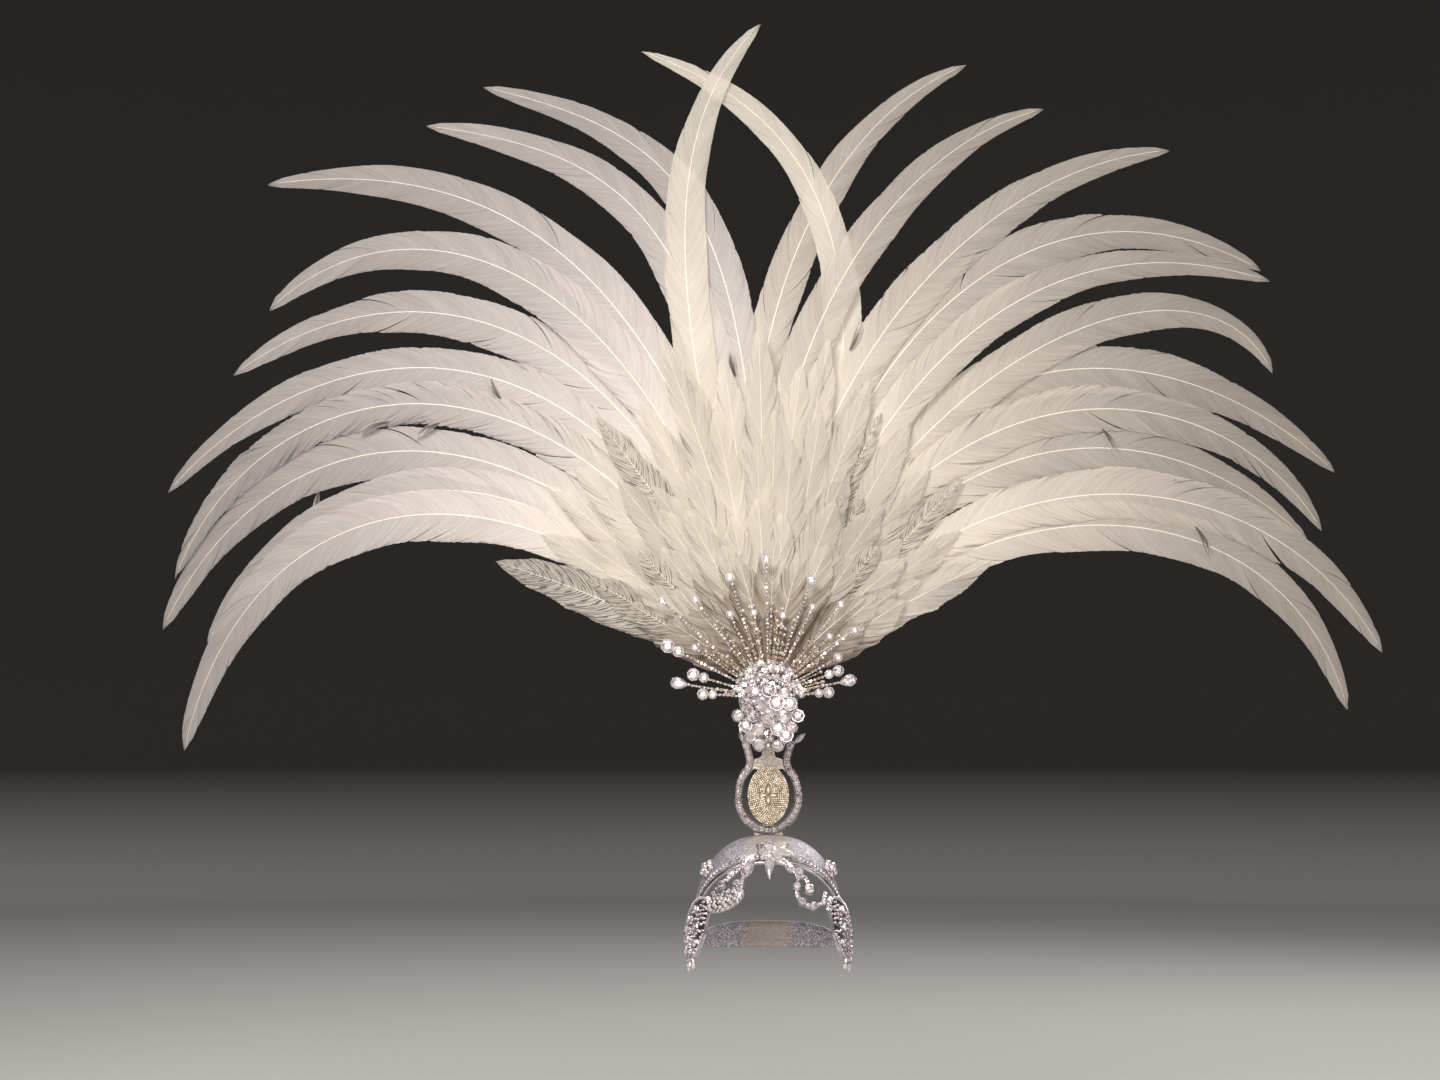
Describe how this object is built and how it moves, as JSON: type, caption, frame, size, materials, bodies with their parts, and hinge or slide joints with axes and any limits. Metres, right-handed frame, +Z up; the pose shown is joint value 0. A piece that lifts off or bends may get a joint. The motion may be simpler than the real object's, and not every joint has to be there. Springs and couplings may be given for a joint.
{
  "type": "feathered headdress",
  "caption": "Jewelled crown with a stem, medallion and crystal sprays, under a wide fan of long pale feathers that arch out to both sides.",
  "frame": {"origin": "inner top of the crown, where it sits on the top of the head", "axes": "+X to the right seen from the front, +Y to the back of the head, +Z up"},
  "size_m": [1.4119, 0.1955, 1.0976],
  "materials": {
    "feather": "soft matt barbs",
    "glitter_metal": "silver glitter",
    "silver_metal": "bright silver plate",
    "crystal": "faceted foil-backed stones",
    "champagne_bead": "pearly seed beads"
  },
  "bodies": {
    "root": {"crown_band": "glitter_metal", "rear_band": "glitter_metal", "middle_arch": "silver_metal", "ear_flap_left": "silver_metal", "ear_flap_right": "silver_metal", "stem_plate": "silver_metal", "lyre_frame": "silver_metal", "leaf_tip_left": "silver_metal", "leaf_tip_right": "silver_metal", "feather_holder": "silver_metal", "brow_wing_left": "crystal", "brow_wing_right": "crystal", "brow_flower": "crystal", "side_rosette_left": "crystal", "side_rosette_right": "crystal", "crystal_rosette": "crystal", "spray_row_left": "crystal", "spray_row_centre": "crystal", "spray_row_right": "crystal", "medallion": "champagne_bead", "long_feather_01": "feather", "long_feather_02": "feather", "long_feather_03": "feather", "long_feather_04": "feather", "long_feather_05": "feather", "long_feather_06": "feather", "long_feather_07": "feather", "long_feather_08": "feather", "long_feather_09": "feather", "long_feather_10": "feather", "long_feather_11": "feather", "long_feather_12": "feather", "long_feather_13": "feather", "long_feather_14": "feather", "long_feather_15": "feather", "long_feather_16": "feather", "long_feather_17": "feather", "long_feather_18": "feather", "long_feather_19": "feather", "long_feather_20": "feather", "long_feather_21": "feather", "long_feather_22": "feather", "long_feather_23": "feather", "inner_plume_left": "feather", "inner_plume_centre": "feather", "inner_plume_right": "feather", "front_plume_left": "feather", "front_plume_centre": "feather", "front_plume_right": "feather"}
  },
  "joints": []
}
